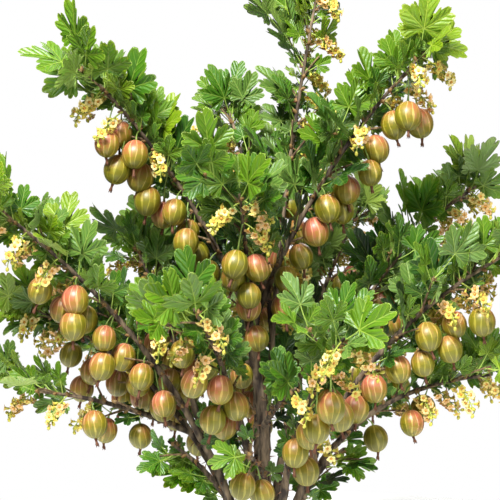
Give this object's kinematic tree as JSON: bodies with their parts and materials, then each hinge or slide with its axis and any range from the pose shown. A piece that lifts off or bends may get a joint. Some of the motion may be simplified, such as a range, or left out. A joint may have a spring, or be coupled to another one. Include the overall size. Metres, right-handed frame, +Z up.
{
  "type": "gooseberry bush",
  "caption": "Small fruiting shrub grown as an open goblet on a short trunk, with lobed leaves, hanging berries and late blossom.",
  "frame": {"origin": "centre of the flat cut under the trunk, at ground level", "axes": "+Z up along the bush, -Y towards the front, +X to the right seen from the front"},
  "size_m": [0.5901, 0.5018, 0.698],
  "materials": {
    "bark": "rough peeling grey-brown bark",
    "foliage": "soft matt leaves, glossy green and rose berries and cream blossom"
  },
  "bodies": {
    "root": {"trunk": "bark", "bough_middle": "bark", "bough_upper_left": "bark", "bough_upper_right": "bark", "bough_tall": "bark", "bough_left_high": "bark", "bough_left_low": "bark", "bough_right_high": "bark", "bough_right_low": "bark", "bough_right_back": "bark", "bough_back_left": "bark", "bough_back_right": "bark", "bough_back": "bark", "bough_front_left": "bark", "bough_front_right": "bark", "bough_inner_left": "bark", "bough_upper_back": "bark", "bough_left_skirt": "bark", "bough_right_inner": "bark", "bough_back_left_low": "bark", "bough_back_right_low": "bark", "bough_crown_back": "bark", "bough_crown_front": "bark", "bough_left_inner": "bark", "bough_spur_left": "bark", "bough_spur_right": "bark", "bough_foot_left": "bark", "bough_foot_right": "bark", "mass_upper_left": "foliage", "mass_upper_right": "foliage", "mass_tall": "foliage", "mass_left_high": "foliage", "mass_left_low": "foliage", "mass_right_high": "foliage", "mass_right_low": "foliage", "mass_right_back": "foliage", "mass_back_left": "foliage", "mass_back_right": "foliage", "mass_back": "foliage", "mass_front_left": "foliage", "mass_front_right": "foliage", "mass_inner_left": "foliage", "mass_upper_back": "foliage", "mass_left_skirt": "foliage", "mass_right_inner": "foliage", "mass_back_left_low": "foliage", "mass_back_right_low": "foliage", "mass_crown_back": "foliage", "mass_crown_front": "foliage", "mass_left_inner": "foliage", "mass_spur_left": "foliage", "mass_spur_right": "foliage", "mass_foot_left": "foliage", "mass_foot_right": "foliage"}
  },
  "joints": []
}
